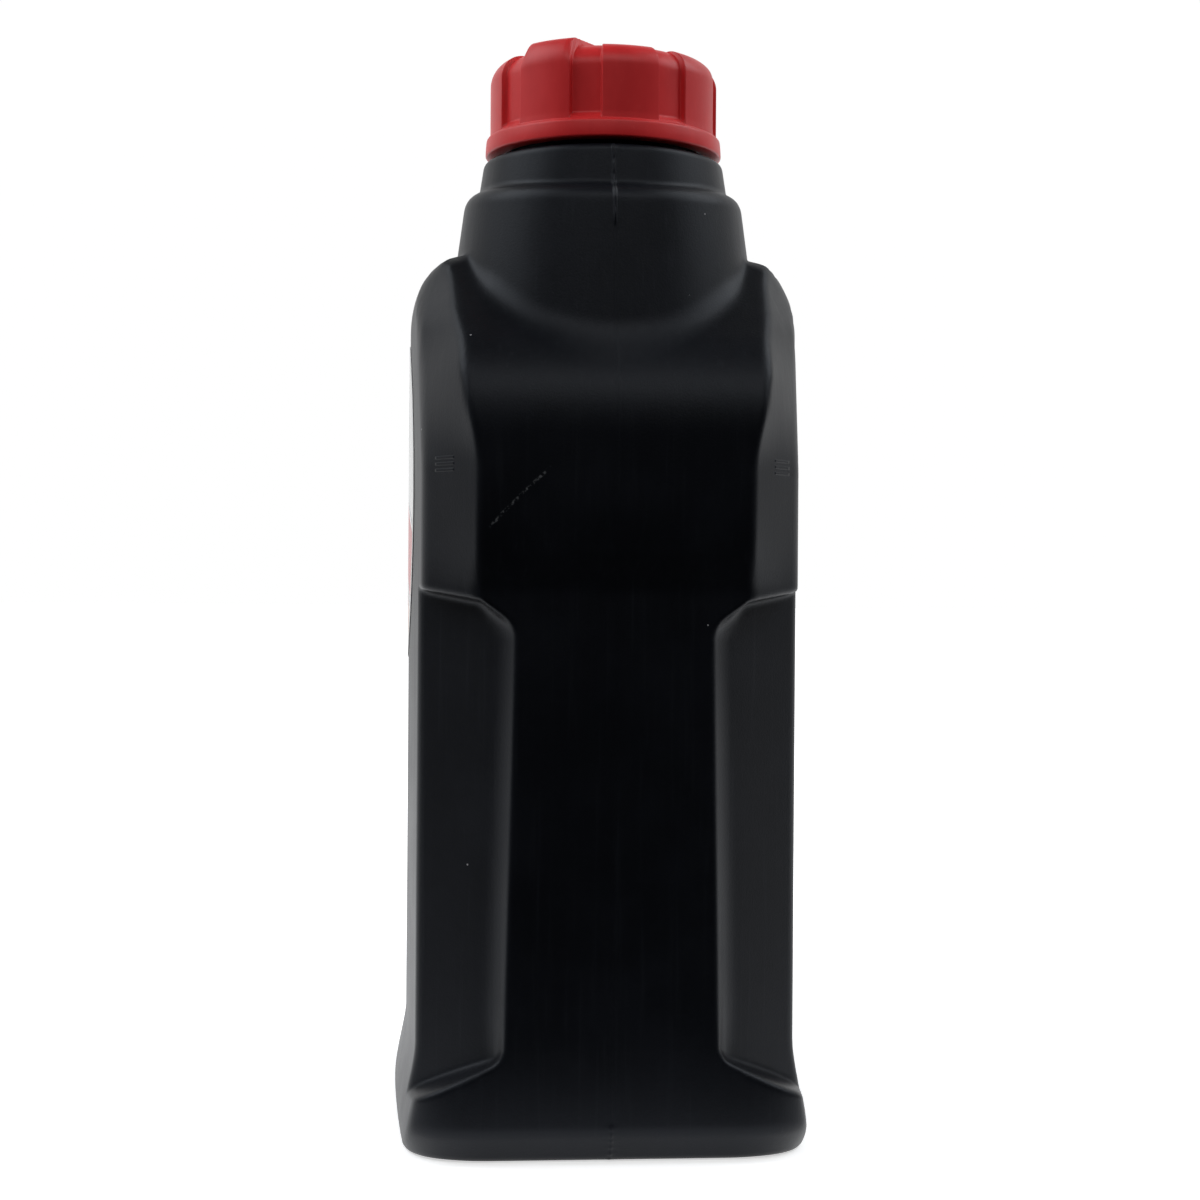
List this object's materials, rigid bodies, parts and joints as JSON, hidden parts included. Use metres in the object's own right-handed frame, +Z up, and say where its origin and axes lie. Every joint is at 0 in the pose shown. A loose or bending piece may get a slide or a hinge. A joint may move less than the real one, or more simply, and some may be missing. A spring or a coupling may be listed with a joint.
{
  "type": "motor oil bottle",
  "caption": "Flat-sided black blow-moulded oil bottle with an offset threaded neck, lobed red screw cap, foil seal and two labels.",
  "frame": {"origin": "centre of the base, on the surface the bottle stands on", "axes": "+Z up; +X towards the narrow side that the neck is offset to; -Y out of the front label"},
  "size_m": [0.115, 0.077, 0.2021],
  "materials": {
    "bottle_plastic": "satin, fine moulded grain",
    "cap_plastic": "satin",
    "foil": "rolled foil",
    "wad": "foamed wad",
    "label": "printed film"
  },
  "bodies": {
    "bottle": {"bottle": "bottle_plastic", "foil_seal": "foil", "front_label": "label", "back_label": "label"},
    "liner": {"cap_liner": "wad"},
    "cap": {"cap": "cap_plastic"}
  },
  "joints": [
    {"name": "cap_lift", "type": "slide", "parent": "bottle", "child": "liner", "axis": [0, 0, 1], "range_m": [0, 0.0191]},
    {"name": "cap_turn", "type": "hinge", "parent": "liner", "child": "cap", "pos_m": [0.021, 0, 0.19], "axis": [0, 0, 1], "range_deg": [0, 1620]}
  ],
  "couplings": [
    {"joint": "cap_lift", "follows": "cap_turn", "m_per_rad": 0.00067323}
  ]
}
